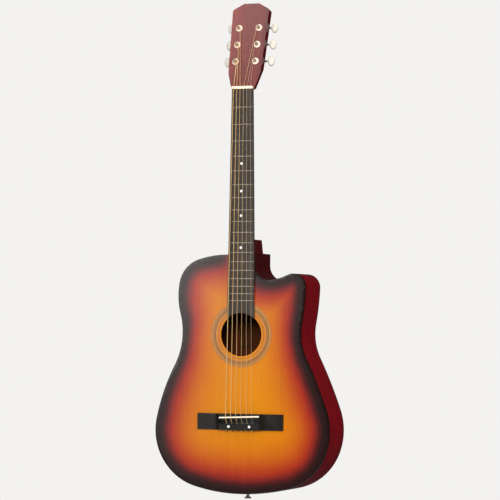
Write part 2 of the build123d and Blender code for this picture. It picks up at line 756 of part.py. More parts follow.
def make_worm(x, s):
    """Worm, its two journals and the long end that carries the button."""
    length = WORM_TURNS * WORM_LEAD
    section = (Pos(0, -THREAD_HEIGHT) * Circle(WORM_PITCH_R)).face()
    twist = 360.0 * WORM_TURNS
    thread = Solid.extrude_linear_with_rotation(section, (0, 0, 0), (0, 0, length), twist)
    worm = Part() + Pos(0, 0, -length / 2) * thread
    inner_end = -(BEARING_X + 1.6)
    side = 1 if x > 0 else -1
    outer_end = BUTTON_X - POST_X + 3.0
    low, high = sorted((side * inner_end, side * outer_end))
    worm += Pos(0, 0, (low + high) / 2) * Cylinder(JOURNAL_R, high - low)
    worm += Pos(0, 0, side * 11.5) * Cylinder(2.1, 5.2)
    worm += Pos(0, 0, side * -8.55) * Cylinder(1.9, 0.9)
    return worm_place(x, s) * worm


def make_button(x, s):
    """Oval button pressed on the worm's end, broad side to the front at rest."""
    side = 1 if x > 0 else -1
    across, along, thick = BUTTON_SIZE
    oval = extrude(Ellipse(across / 2, along / 2), thick / 2, both=True)
    oval = fillet(oval.edges(), 3.2)
    collar = Pos(-side * (across / 2 + 0.2), 0, 0) * Rot(0, 90, 0) * Cylinder(2.7, 2.4)
    button = HEAD * Pos(side * BUTTON_X, s + GEAR_OFFSET, WORM_N) * (oval + collar)
    shaft = worm_place(x, s) * Pos(0, 0, side * (BUTTON_X - POST_X - 5)) * Cylinder(JOURNAL_R, 16)
    return button - shaft


# ---- strap button --------------------------------------------------------------------------------
def make_strap_button():
    """Turned button on the tail end: a round head on a slim waist."""
    half = make_face(
        [
            Polyline((1.7, 0), (6.0, 0), (6.0, -1.4)),
            Spline((6.0, -1.4), (2.9, -5.2), (6.75, -8.4), tangents=[(-1, -0.3), (1, -0.3)]),
            Line((6.75, -8.4), (6.75, -9.8)),
            ThreePointArc((6.75, -9.8), (6.4, -10.65), (5.5, -11.0)),
            Polyline((5.5, -11.0), (3.3, -11.0), (1.7, -9.2), (1.7, 0)),
        ]
    )
    return revolve(Plane.XZ * half, Axis.Z)


def make_strap_screw():
    half = make_face(
        Polyline((0, -11.0), (3.3, -11.0), (1.6, -9.2), (1.6, 21.0), (0, 23.0), (0, -11.0))
    )
    screw = revolve(Plane.XZ * half, Axis.Z)
    for turn in (0, 90):
        screw -= Pos(0, 0, -10.6) * Rot(0, 0, turn) * Box(3.8, 0.8, 0.8)
    return screw


# ---- write every node --------------------------------------------------------------------------
def main():
    os.makedirs("parts", exist_ok=True)
    space = body_inside(SIDE_THICK)
    save("soundboard", make_soundboard())
    save("rosette", make_rosette())
    save("back_panel", make_back())
    save("side_bass", make_side(-1))
    save("side_treble", make_side(1))
    save("top_linings", make_linings(TOP_INSIDE_Y, TOP_INSIDE_Y + LINING_HEIGHT))
    save("back_linings", make_linings(BACK_INSIDE_Y - LINING_HEIGHT, BACK_INSIDE_Y))
    save("neck_block", (block_zone(NECK_BLOCK_Z, 600) & space) - tenon())
    save("tail_block", (block_zone(-10, TAIL_BLOCK_HEIGHT) & space) - screw_tunnel())
    save("top_braces", make_top_braces())
    save("back_braces", make_back_braces())
    save("bridge_plate", make_bridge_plate())
    save("soundhole_label", make_label())
    save("neck", make_neck())
    save("headstock_veneer", make_veneer())
    save("truss_rod", make_truss_rod())
    save("fretboard", make_fretboard())
    save("frets", make_frets())
    save("position_dots", make_dots())
    save("nut", make_nut())
    save("bridge", make_bridge())
    save("saddle", make_saddle())
    save("bridge_bolts", make_bridge_bolts())
    save("bridge_bolt_caps", make_bolt_caps())
    for index in range(6):
        save(f"string_{index + 1}", make_string(index))
    save("string_ball_ends", make_ball_ends())
    for number, (x, s) in enumerate(post_places(), start=1):
        save(f"tuner_post_{number}", make_post(x, s))
        save(f"tuner_gear_{number}", make_gear(x, s))
        save(f"tuner_worm_{number}", make_worm(x, s))
        save(f"tuner_button_{number}", make_button(x, s))
    save("tuner_plates", make_plates())
    save("tuner_bushings", make_bushings())
    save("tuner_plate_screws", make_plate_screws())
    save("strap_button", make_strap_button())
    save("strap_button_screw", make_strap_screw())


main()
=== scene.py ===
import json
import math

import bpy
import bmesh
from mathutils import Matrix, Vector
from mathutils.geometry import delaunay_2d_cdt
from mathutils.kdtree import KDTree


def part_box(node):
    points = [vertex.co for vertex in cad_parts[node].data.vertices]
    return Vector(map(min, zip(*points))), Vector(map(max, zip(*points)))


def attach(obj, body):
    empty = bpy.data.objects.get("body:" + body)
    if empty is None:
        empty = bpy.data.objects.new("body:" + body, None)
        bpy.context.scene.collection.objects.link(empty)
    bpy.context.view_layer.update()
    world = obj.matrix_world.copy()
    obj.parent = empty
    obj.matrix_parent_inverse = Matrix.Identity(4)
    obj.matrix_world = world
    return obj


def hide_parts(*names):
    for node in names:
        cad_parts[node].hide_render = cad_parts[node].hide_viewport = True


# Acoustic guitar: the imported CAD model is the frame, and this script gives it its looks.
# Everything is in metres: +Z up the neck, -Y out of the soundboard, +X the treble side.
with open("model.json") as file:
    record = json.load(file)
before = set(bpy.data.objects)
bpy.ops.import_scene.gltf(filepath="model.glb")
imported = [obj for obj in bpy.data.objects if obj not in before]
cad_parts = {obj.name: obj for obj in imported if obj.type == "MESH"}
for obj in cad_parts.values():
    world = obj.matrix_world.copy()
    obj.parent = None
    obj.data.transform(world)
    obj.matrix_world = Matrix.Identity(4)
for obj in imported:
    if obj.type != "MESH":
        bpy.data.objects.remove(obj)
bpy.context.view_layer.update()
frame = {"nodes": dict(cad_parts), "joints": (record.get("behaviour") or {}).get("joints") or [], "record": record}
NODES = frame["nodes"]
GUITAR = "guitar_body"
MM = 0.001

# ---- measures taken from the frame ---------------------------------------------------
BOARD_LOW, BOARD_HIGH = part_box("soundboard")
FACE_Y = BOARD_LOW.y                      # outer face of the soundboard
TOP_THICK = BOARD_HIGH.y - BOARD_LOW.y
BODY_TOP = BOARD_HIGH.z
ROSE_LOW, ROSE_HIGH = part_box("rosette")
HOLE_Z = (ROSE_LOW.z + ROSE_HIGH.z) / 2
BACK_LOW, BACK_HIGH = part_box("back_panel")
BACK_THICK = BACK_HIGH.y - BACK_LOW.y
SIDE_LOW, SIDE_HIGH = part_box("side_treble")

# ---- measures repeated from the design -------------------------------------------------
HOLE_R = 42.3 * MM
SIDE_THICK = 2.2                          # millimetres, like the arcs below
CLEAR = 0.02                              # millimetres that the looks stay inside the CAD outline
NECK_SEAT_X = -25.0
NECK_JOINT_HALF = 58 * MM                 # this far each way from the middle, the top isn't sprayed
CUTAWAY_SHADE_Z = 380 * MM                      # above this, the cutaway side is darkened with painted shade
CUTAWAY_SHADE_X = 60 * MM                  # from the neck as far as this, and then it fades
WAIST_Z = 300 * MM
WAIST_REACH = 75 * MM
WAIST_STRETCH = 0.32                      # how much narrower the dark band is at the waist
HEAD_HALF = 38 * MM
HOLE_SEGMENTS = 96
ROW_PITCH = 0.87                          # height of a row of triangles, in spacings
ROSETTE_BANDS = ((45.9, 47.7), (50.5, 63.3))
ROSETTE_SEGMENTS = 160
WRAP_PITCH = 0.00045                      # metres of string for one turn of its wrap wire
MOTTLE = 0.08                             # how far the clouding changes a plastic's colour
HEAD_ANGLE = math.radians(15.0)
STRING_HOLE_ABOVE_GEAR = 27.7 * MM
STRING_DIAMETERS = (1.35, 1.07, 0.81, 0.61, 0.41, 0.30)
# The outline in tangent arcs from the middle of the tail: (radius, turn in degrees).
BASS_ARCS = [
    (357.0, 15.6), (115.3, 52.9), (110.4, 33.1), (393.0, 16.3),
    (140.0, -43.0), (136.3, 25.7), (58.9, 62.0), (204.0, 17.4),
]
TREBLE_ARCS = [
    (421.9, 13.1), (113.1, 57.8), (123.6, 38.5), (864.8, 7.1),
    (110.7, -36.7), (516.4, 7.7), (26.4, 118.3), (99.4, -21.6), (29.2, -94.2),
]


# ---- camera: the photographed angle -----------------------------------------------------
def make_camera():
    """A long lens, a little to the treble side and almost level."""
    yaw, pitch, roll = math.radians(21.0), 0.029, 0.008
    level = Vector((-math.sin(yaw), math.cos(yaw), 0.0))
    forward = level * math.cos(pitch) + Vector((0.0, 0.0, math.sin(pitch)))
    right = Vector((math.cos(yaw), math.sin(yaw), 0.0))
    up = right.cross(forward)
    turned_right = right * math.cos(roll) + up * math.sin(roll)
    turned_up = up * math.cos(roll) - right * math.sin(roll)
    data = bpy.data.cameras.new("camera")
    data.sensor_width = 36.0
    data.lens = 180.0
    data.clip_end = 50.0
    camera = bpy.data.objects.new("camera", data)
    place = Matrix((turned_right, turned_up, -forward)).transposed().to_4x4()
    place.translation = Vector((1.7627, -4.5475 + FACE_Y, 0.3341))
    camera.matrix_world = place
    bpy.context.scene.collection.objects.link(camera)
    bpy.context.scene.camera = camera


make_camera()


# ---- material helpers ----------------------------------------------------------------------
def linear(red, green, blue):
    """A screen colour from 0 to 255 as the linear colour that shaders take."""
    def one(value):
        value /= 255.0
        return value / 12.92 if value <= 0.04045 else ((value + 0.055) / 1.055) ** 2.4
    return (one(red), one(green), one(blue), 1.0)


class Shader:
    """A material with its principled shader, and short calls for the nodes used here."""

    def __init__(self, name, roughness=0.5, metallic=0.0, specular=0.5, coat=0.0,
                 coat_roughness=0.1):
        self.material = bpy.data.materials.new(name)
        self.material.use_nodes = True
        self.tree = self.material.node_tree
        self.principled = self.tree.nodes["Principled BSDF"]
        self.principled.inputs["Roughness"].default_value = roughness
        self.principled.inputs["Metallic"].default_value = metallic
        self.principled.inputs["Specular IOR Level"].default_value = specular
        self.principled.inputs["Coat Weight"].default_value = coat
        self.principled.inputs["Coat Roughness"].default_value = coat_roughness
        self.coordinates = self.tree.nodes.new("ShaderNodeTexCoord")

    def link(self, source, target):
        self.tree.links.new(source, target)

    def mapped(self, scale, source="Object"):
        """Coordinates in metres times a scale along each axis."""
        mapping = self.tree.nodes.new("ShaderNodeMapping")
        mapping.inputs["Scale"].default_value = scale
        self.link(self.coordinates.outputs[source], mapping.inputs["Vector"])
        return mapping.outputs["Vector"]

    def noise(self, vector, detail=4.0, roughness=0.55, distortion=0.0):
        node = self.tree.nodes.new("ShaderNodeTexNoise")
        node.inputs["Scale"].default_value = 1.0
        node.inputs["Detail"].default_value = detail
        node.inputs["Roughness"].default_value = roughness
        node.inputs["Distortion"].default_value = distortion
        self.link(vector, node.inputs["Vector"])
        return node.outputs["Fac"]

    def bands(self, vector, scale):
        """Even bands one after another along Z."""
        node = self.tree.nodes.new("ShaderNodeTexWave")
        node.wave_type = "BANDS"
        node.bands_direction = "Z"
        node.wave_profile = "SIN"
        node.inputs["Scale"].default_value = scale
        node.inputs["Distortion"].default_value = 0.0
        node.inputs["Detail"].default_value = 2.0
        self.link(vector, node.inputs["Vector"])
        return node.outputs["Fac"]

    def ramp(self, value, stops, interpolation="LINEAR"):
        """Colour stops as (position, colour)."""
        node = self.tree.nodes.new("ShaderNodeValToRGB")
        node.color_ramp.interpolation = interpolation
        elements = node.color_ramp.elements
        while len(elements) < len(stops):
            elements.new(1.0)
        for element, (position, colour) in zip(elements, stops):
            element.position = position
            element.color = colour
        self.link(value, node.inputs["Fac"])
        return node.outputs["Color"]

    def scalar(self, value, low, high, low_to=0.0, high_to=1.0):
        """A value stretched from one range to another."""
        node = self.tree.nodes.new("ShaderNodeMapRange")
        node.inputs["From Min"].default_value = low
        node.inputs["From Max"].default_value = high
        node.inputs["To Min"].default_value = low_to
        node.inputs["To Max"].default_value = high_to
        self.link(value, node.inputs["Value"])
        return node.outputs["Result"]

    def math(self, operation, first, second):
        node = self.tree.nodes.new("ShaderNodeMath")
        node.operation = operation
        for socket, value in zip(node.inputs, (first, second)):
            if isinstance(value, (int, float)):
                socket.default_value = value
            else:
                self.link(value, socket)
        return node.outputs["Value"]

    def mix(self, first, second, amount, blend="MIX"):
        node = self.tree.nodes.new("ShaderNodeMix")
        node.data_type = "RGBA"
        node.blend_type = blend
        for name, value in (("Factor", amount), ("A", first), ("B", second)):
            socket = [s for s in node.inputs if s.name == name and s.enabled][0]
            if isinstance(value, (int, float, tuple)):
                socket.default_value = value
            else:
                self.link(value, socket)
        return [s for s in node.outputs if s.enabled][0]

    def attribute(self, name):
        node = self.tree.nodes.new("ShaderNodeAttribute")
        node.attribute_name = name
        return node.outputs["Fac"]

    def axis(self, vector, which):
        node = self.tree.nodes.new("ShaderNodeSeparateXYZ")
        self.link(vector, node.inputs["Vector"])
        return node.outputs[which]

    def colour(self, value):
        self.link(value, self.principled.inputs["Base Color"])

    def rough(self, value):
        self.link(value, self.principled.inputs["Roughness"])

    def bump(self, height, strength=0.3, distance=0.0002):
        node = self.tree.nodes.new("ShaderNodeBump")
        node.inputs["Strength"].default_value = strength
        node.inputs["Distance"].default_value = distance
        self.link(height, node.inputs["Height"])
        self.link(node.outputs["Normal"], self.principled.inputs["Normal"])


# ---- materials ---------------------------------------------------------------------------------
def streaks(shader, across, along, source="Object"):
    """Fine straight wood grain that runs along Z, or along the map's first axis."""
    scale = (across, across, along) if source == "Object" else (along, across, 1)
    return shader.noise(shader.mapped(scale, source=source), detail=4.0, roughness=0.7)


def tint(shader, value, dark, light):
    """A multiplier colour that goes from dark to light with a noise value."""
    return shader.ramp(value, [(0.3, (*dark, 1.0)), (0.7, (*light, 1.0))])


def timber(shader):
    """Bare wood, as the inside of the body shows it."""
    grain = streaks(shader, 420, 16)
    tones = [(0.28, linear(54, 24, 9)), (0.5, linear(72, 34, 14)), (0.74, linear(90, 45, 21))]
    wood = shader.ramp(grain, tones)
    dust = shader.noise(shader.mapped((60, 60, 60)), detail=3.0)
    return shader.mix(wood, tint(shader, dust, (0.8, 0.78, 0.74), (1.06, 1.05, 1.03)), 0.7, "MULTIPLY")


def lacquered(shader, outside):
    """Lacquered colour outside; bare wood without a coat where the surface faces inwards."""
    inside = shader.attribute("inside")
    shader.colour(shader.mix(outside, timber(shader), inside))
    shader.link(shader.scalar(inside, 0.0, 1.0, 1.0, 0.0), shader.principled.inputs["Coat Weight"])


def sunburst_lacquer():
    """Straight-grained spruce sprayed from amber through red to near black at the edge."""
    shader = Shader("sunburst_lacquer", roughness=0.5, specular=0.0, coat=1.0, coat_roughness=0.17)
    drift = shader.noise(shader.mapped((14, 14, 14)), detail=2.0)
    drift = shader.scalar(drift, 0.3, 0.7, -2.5 * MM, 2.5 * MM)
    edge = shader.math("ADD", shader.attribute("edge"), drift)
    reach = 130
    stops = [
        (0, (24, 12, 12)), (14, (40, 19, 18)), (21, (72, 22, 22)), (29, (118, 32, 25)),
        (37, (146, 43, 24)), (46, (158, 58, 21)), (58, (171, 77, 18)), (74, (182, 96, 13)),
        (94, (190, 109, 6)), (130, (198, 121, 2)),
    ]
    position = shader.scalar(edge, 0.0, reach * MM)
    burst = shader.ramp(position, [(place / reach, linear(*colour)) for place, colour in stops])
    fine = streaks(shader, 900, 7)
    broad = streaks(shader, 170, 3)
    grained = shader.mix(burst, tint(shader, fine, (0.90, 0.86, 0.80), (1.04, 1.05, 1.06)), 0.8, "MULTIPLY")
    banded = shader.mix(grained, tint(shader, broad, (0.95, 0.93, 0.90), (1.04, 1.04, 1.04)), 0.7, "MULTIPLY")
    lacquered(shader, banded)
    ripple = shader.noise(shader.mapped((110, 110, 30)), detail=1.0)
    shader.bump(shader.math("ADD", shader.math("MULTIPLY", fine, 0.3), ripple), 0.06, 0.0001)
    return shader.material


def cherry_lacquer(name, source="UV"):
    """Transparent dark cherry gloss. On the bent sides the grain follows the bend.
    The edge value darkens the sprayed edges, adds a painted highlight band just inside them, and gives painted
    shade in the cutaway.
    """
    shader = Shader(name, roughness=0.5, specular=0.0, coat=1.0, coat_roughness=0.13)
    grain = streaks(shader, 420, 5, source)
    cloud = streaks(shader, 26, 7, source)
    tones = [(0.28, linear(100, 1, 9)), (0.5, linear(116, 2, 13)), (0.72, linear(132, 4, 18))]
    wood = shader.ramp(grain, tones)
    toned = shader.mix(wood, tint(shader, cloud, (0.72, 0.68, 0.70), (1.08, 1.05, 1.05)), 0.8, "MULTIPLY")
    # Edge ramp: near black at the sprayed edge, then a painted highlight band above 1 a little way in. Low values
    # in the cutaway give painted shade.
    edge_spray_and_painted_light = [(0.0, (0.08, 0.10, 0.12, 1)), (0.14, (0.12, 0.13, 0.16, 1)), (0.28, (0.7, 0.75, 0.75, 1))]
    edge_spray_and_painted_light += [(0.45, (1.15, 1.1, 1.1, 1)), (0.6, (0.85, 0.85, 0.85, 1)), (1.0, (0.95, 0.95, 0.95, 1))]
    shade = shader.ramp(shader.attribute("edge"), edge_spray_and_painted_light)
    lacquered(shader, shader.mix(toned, shade, 1.0, "MULTIPLY"))
    shader.bump(grain, 0.05, 0.0001)
    return shader.material


def neck_lacquer():
    """Dark cherry gloss on the neck and heel, with straight lengthwise grain."""
    shader = Shader("neck_lacquer", roughness=0.5, specular=0.0, coat=1.0, coat_roughness=0.09)
    grain = streaks(shader, 500, 7)
    cloud = shader.noise(shader.mapped((45, 45, 9)), detail=3.0)
    tones = [(0.3, linear(44, 3, 7)), (0.5, linear(74, 7, 12)), (0.72, linear(98, 14, 19))]
    clouds = tint(shader, cloud, (0.65, 0.62, 0.62), (1.1, 1.06, 1.05))
    shader.colour(shader.mix(shader.ramp(grain, tones), clouds, 0.8, "MULTIPLY"))
    shader.bump(grain, 0.08, 0.0001)
    return shader.material


def headstock_wood():
    """Red-brown wood under satin lacquer, darker along its pores and to the treble side, and lighter at the bass
    edge with a painted sheen.
    """
    shader = Shader("headstock_wood", roughness=0.5, specular=0.0, coat=0.8, coat_roughness=0.2)
    grain = shader.noise(shader.mapped((380, 380, 9)), detail=5.0, roughness=0.7, distortion=0.4)
    pores = shader.noise(shader.mapped((1500, 1500, 60)), detail=2.0)
    tones = [(0.28, linear(82, 26, 22)), (0.5, linear(106, 36, 30)), (0.72, linear(126, 49, 40))]
    wood = shader.ramp(grain, tones)
    dots = shader.ramp(pores, [(0.34, (0.66, 0.56, 0.55, 1)), (0.44, (1, 1, 1, 1))])
    across = shader.scalar(shader.axis(shader.coordinates.outputs["Object"], "X"), -HEAD_HALF, HEAD_HALF)
    # Across the face, a painted sheen lightens and greys the bass edge, and the treble side is darker.
    sheen_and_darkening_stops = [(0.0, (1.4, 1.6, 1.5, 1)), (0.2, (1.1, 1.1, 1.1, 1)), (0.5, (0.95, 1.0, 0.9, 1))]
    sheen_and_darkening_stops += [(0.8, (1.0, 0.85, 0.85, 1)), (1.0, (0.55, 0.3, 0.4, 1))]
    burst = shader.ramp(across, sheen_and_darkening_stops)
    shader.colour(shader.mix(shader.mix(wood, dots, 0.5, "MULTIPLY"), burst, 1.0, "MULTIPLY"))
    shader.bump(pores, 0.1, 0.0001)
    return shader.material


def dark_board():
    """Dry dark fretboard wood with open pores along the grain."""
    shader = Shader("dark_board", roughness=0.5, specular=0.35)
    grain = shader.noise(shader.mapped((520, 520, 12)), detail=5.0, roughness=0.75)
    pores = shader.noise(shader.mapped((2200, 2200, 110)), detail=2.0)
    tones = [(0.28, linear(46, 40, 36)), (0.5, linear(62, 55, 50)), (0.74, linear(84, 76, 70))]
    wood = shader.ramp(grain, tones)
    dots = shader.ramp(pores, [(0.36, (0.66, 0.62, 0.60, 1)), (0.46, (1, 1, 1, 1))])
    shader.colour(shader.mix(wood, dots, 0.7, "MULTIPLY"))
    shader.rough(shader.scalar(grain, 0.3, 0.7, 0.6, 0.44))
    shader.bump(pores, 0.2, 0.0001)
    return shader.material


def black_wood():
    """Black-stained bridge with a soft gloss and faint grain from side to side."""
    shader = Shader("black_wood", roughness=0.4, specular=0.0, coat=0.7, coat_roughness=0.3)
    grain = shader.noise(shader.mapped((12, 500, 500)), detail=4.0, roughness=0.7)
    tones = [(0.3, linear(18, 16, 13)), (0.55, linear(27, 24, 20)), (0.75, linear(36, 32, 28))]
    shader.colour(shader.ramp(grain, tones))
    shader.rough(shader.scalar(grain, 0.3, 0.7, 0.46, 0.34))
    shader.bump(grain, 0.1, 0.0001)
    return shader.material


def bare_wood():
    """Unfinished wood inside the body, with saw-fine grain and a little dust."""
    shader = Shader("bare_wood", roughness=0.8, specular=0.3)
    shader.colour(timber(shader))
    shader.bump(streaks(shader, 420, 16), 0.25, 0.0002)
    return shader.material


def plastic(name, colour, roughness=0.3, coat=0.3):
    """Moulded or turned plastic with faint clouding and handling marks."""
    shader = Shader(name, roughness=roughness, specular=0.3, coat=coat)
    cloud = shader.noise(shader.mapped((240, 240, 240)), detail=4.0)
    base = Vector(linear(*colour)[:3])
    shader.colour(tint(shader, cloud, base * (1 - 2 * MOTTLE), base * (1 + MOTTLE)))
    marks = shader.noise(shader.mapped((900, 900, 900)), detail=3.0)
    shader.rough(shader.scalar(marks, 0.3, 0.7, roughness - 0.06, roughness + 0.1))
    shader.bump(marks, 0.05, 0.0001)
    return shader.material


def metal(name, colour, roughness=0.25, brushed=(300, 300, 300), metallic=1.0):
    """Metal with fine machining marks and patches where the plating is duller."""
    shader = Shader(name, roughness=roughness, metallic=metallic)
    marks = shader.noise(shader.mapped(brushed), detail=5.0, roughness=0.7)
    patches = shader.noise(shader.mapped((180, 180, 180)), detail=3.0)
    base = Vector(linear(*colour)[:3])
    shader.colour(tint(shader, patches, base * 0.72, base * 1.06))
    shader.rough(shader.scalar(marks, 0.3, 0.7, roughness - 0.05, roughness + 0.12))
    shader.bump(marks, 0.05, 0.00003)
    return shader.material


def wound_string(name, wrap):
    """Bronze wrap wire, one turn every wrap metres along the string, with painted shade in the grooves between
    turns.
    """
    shader = Shader(name, roughness=0.35, metallic=0.25)
    turns = shader.bands(shader.mapped((0, 0, 1 / wrap)), 0.5)
    age = shader.noise(shader.mapped((60, 60, 30)), detail=3.0)
    tone = shader.ramp(age, [(0.3, linear(214, 176, 118)), (0.7, linear(240, 206, 146))])
    # Painted shade darkens the groove between turns.
    groove_shade = shader.ramp(turns, [(0.0, (0.55, 0.5, 0.46, 1)), (0.5, (1, 1, 1, 1))])
    shader.colour(shader.mix(tone, groove_shade, 0.8, "MULTIPLY"))
    shader.bump(turns, 0.3, 0.0001)
    return shader.material


def label_paper():
    """Plain brown paper label with a blank border line and no printing."""
    shader = Shader("label_paper", roughness=0.85, specular=0.1)
    fibre = shader.noise(shader.mapped((700, 700, 700)), detail=5.0)
    stain = shader.noise(shader.mapped((40, 40, 40)), detail=2.0)
    paper = shader.ramp(fibre, [(0.3, linear(52, 28, 13)), (0.7, linear(72, 40, 19))])
    aged = shader.mix(paper, tint(shader, stain, (0.8, 0.76, 0.7), (1.05, 1.03, 1.0)), 0.8, "MULTIPLY")
    white = (1.0, 1.0, 1.0, 1.0)
    line = [(0.0, white), (0.10, (0.35, 0.28, 0.20, 1.0)), (0.14, white)]
    border = shader.ramp(shader.attribute("edge"), line, "CONSTANT")
    shader.colour(shader.mix(aged, border, 1.0, "MULTIPLY"))
    shader.bump(fibre, 0.2, 0.0001)
    return shader.material


def rosette_inlay():
    """Fine rings of dyed wood, told apart by their distance from the soundhole's centre."""
    shader = Shader("rosette_inlay", roughness=0.5, specular=0.0, coat=1.0, coat_roughness=0.17)
    radius = shader.attribute("ring_radius")
    inner, outer = 0.044, 0.064
    rings = [
        (44.0, (205, 122, 40)), (45.9, (84, 46, 24)), (46.4, (200, 132, 62)), (47.1, (80, 46, 26)),
        (47.7, (210, 126, 40)), (50.5, (84, 48, 28)), (51.0, (206, 142, 74)), (52.0, (150, 98, 46)),
        (53.1, (120, 80, 44)), (54.6, (158, 106, 50)), (56.2, (124, 82, 46)), (57.8, (158, 106, 50)),
        (59.2, (190, 134, 66)), (60.2, (84, 50, 32)), (60.9, (204, 146, 82)), (61.7, (88, 52, 34)),
        (62.3, (196, 138, 76)), (62.9, (80, 44, 28)), (63.3, (196, 104, 34)),
    ]
    stops = [((place * MM - inner) / (outer - inner), linear(*colour)) for place, colour in rings]
    lines = shader.ramp(shader.scalar(radius, inner, outer), stops, "CONSTANT")
    chips = shader.noise(shader.mapped((900, 900, 900)), detail=2.0)
    chipped = tint(shader, chips, (0.82, 0.8, 0.78), (1.06, 1.05, 1.04))
    shader.colour(shader.mix(lines, chipped, 0.7, "MULTIPLY"))
    ripple = shader.noise(shader.mapped((110, 110, 30)), detail=1.0)
    shader.bump(ripple, 0.06, 0.0001)
    return shader.material


MATERIALS = {
    "sunburst_lacquer": sunburst_lacquer(),
    "cherry_lacquer": cherry_lacquer("cherry_lacquer"),
    "cherry_lacquer_flat": cherry_lacquer("cherry_lacquer_flat", "Object"),
    "neck_lacquer": neck_lacquer(),
    "headstock_wood": headstock_wood(),
    "dark_board": dark_board(),
    "black_wood": black_wood(),
    "bare_wood": bare_wood(),
    "label_paper": label_paper(),
    "rosette_inlay": rosette_inlay(),
    "white_inlay": plastic("white_inlay", (240, 238, 230), 0.25),
    "cream_plastic": plastic("cream_plastic", (250, 232, 206), 0.35),
    "cream_ferrule": plastic("cream_ferrule", (244, 220, 202), 0.3),
    "ivory_plastic": plastic("ivory_plastic", (214, 206, 192), 0.35, coat=0.1),
    "fret_metal": metal("fret_metal", (178, 166, 150), 0.36, (1200, 60, 1200), metallic=0.7),
    "plain_steel": metal("plain_steel", (150, 150, 150), 0.38),
    "ball_brass": metal("ball_brass", (190, 160, 104), 0.3),
    "plated_metal": metal("plated_metal", (170, 165, 158), 0.3),
    "post_metal": metal("post_metal", (176, 152, 132), 0.42, metallic=0.4),
    "gear_brass": metal("gear_brass", (196, 162, 96), 0.3),
    "strap_button_metal": metal("strap_button_metal", (176, 166, 158), 0.35, (900, 900, 90), metallic=0.4),
    "wound_bronze": wound_string("wound_bronze", WRAP_PITCH),
    "plain_string": metal("plain_string", (228, 206, 168), 0.3, (60, 60, 900), metallic=0.25),
}


def paint(piece, slot):
    """Give a piece one material and no other."""
    piece.data.materials.clear()
    piece.data.materials.append(MATERIALS[slot])


# ---- mesh helpers ---------------------------------------------------------------------------------
def make_piece(name, mesh, slot, node, body=GUITAR):
    """A new piece that stands for a CAD node and rides its body."""
    piece = bpy.data.objects.new(name, mesh)
    bpy.context.scene.collection.objects.link(piece)
    paint(piece, slot)
    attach(piece, body)
    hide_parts(node)
    return piece


def smooth(mesh, angle):
    """Smooth shading, but with sharp edges where faces meet at more than the angle."""
    for polygon in mesh.polygons:
        polygon.use_smooth = True
    mesh.set_sharp_from_angle(angle=math.radians(angle))


def set_attribute(mesh, name, values):
    """A number at each vertex, for a material to read."""
    layer = mesh.attributes.new(name, "FLOAT", "POINT")
    layer.data.foreach_set("value", values)


def arc_points(arcs, inset, step=2.5):
    """Points along tangent arcs from the tail, in millimetres, set inwards by inset."""
    x, z, heading = 0.0, inset, 0.0
    points = [(x, z)]
    for radius, turn in arcs:
        side = 1 if turn > 0 else -1
        true_radius = radius - side * inset
        cx = x - side * true_radius * math.sin(heading)
        cz = z + side * true_radius * math.cos(heading)
        count = max(3, round(abs(math.radians(turn)) * radius / step))
        for k in range(1, count + 1):
            angle = heading + math.radians(turn) * k / count
            x = cx + side * true_radius * math.sin(angle)
            z = cz - side * true_radius * math.cos(angle)
            points.append((x, z))
        heading += math.radians(turn)
    return points


def steps_between(start, end, count):
    """Points on a straight line, after its start up to its end."""
    return [(start[0] + (end[0] - start[0]) * k / count, start[1] + (end[1] - start[1]) * k / count)
            for k in range(1, count + 1)]


def bass_line(inset, step=2.5):
    """The bass side from the tail, over the shoulder, to the middle of the neck joint."""
    points = [(-x, z) for x, z in arc_points(BASS_ARCS, inset, step)]
    top = BODY_TOP / MM - inset
    seat = (NECK_SEAT_X, top)
    return points + steps_between(points[-1], seat, 3) + steps_between(seat, (0.0, top), 10)


def treble_line(inset, step=2.5):
    """The treble side from the tail, round the cutaway, to the middle of the neck joint."""
    points = arc_points(TREBLE_ARCS, inset, step)
    top = BODY_TOP / MM - inset
    corner = (points[-1][0], top)
    return points + steps_between(points[-1], corner, 8) + steps_between(corner, (0.0, top), 10)


def body_line(inset, step=2.5):
    """The whole outline in metres, once round, starting at the tail."""
    line = treble_line(inset, step) + bass_line(inset, step)[-2:0:-1]
    return [Vector((x * MM, z * MM)) for x, z in line]


def sprayed_edge():
    """The edge that the burst is measured from: all of it but the neck joint."""
    points = [p for p in body_line(0.0, 0.5) if p.y < BODY_TOP - 0.004 or abs(p.x) > NECK_JOINT_HALF]
    tree = KDTree(len(points))
    for index, point in enumerate(points):
        tree.insert((point.x, 0.0, point.y), index)
    tree.balance()
    return tree


SPRAYED_EDGE = sprayed_edge()


def burst_distance(x, z):
    """Distance from the sprayed edge, stretched at the waist where the dark band is narrower."""
    distance = SPRAYED_EDGE.find((x, 0.0, z))[2]
    return distance * (1 + WAIST_STRETCH * math.exp(-((z - WAIST_Z) / WAIST_REACH) ** 2))


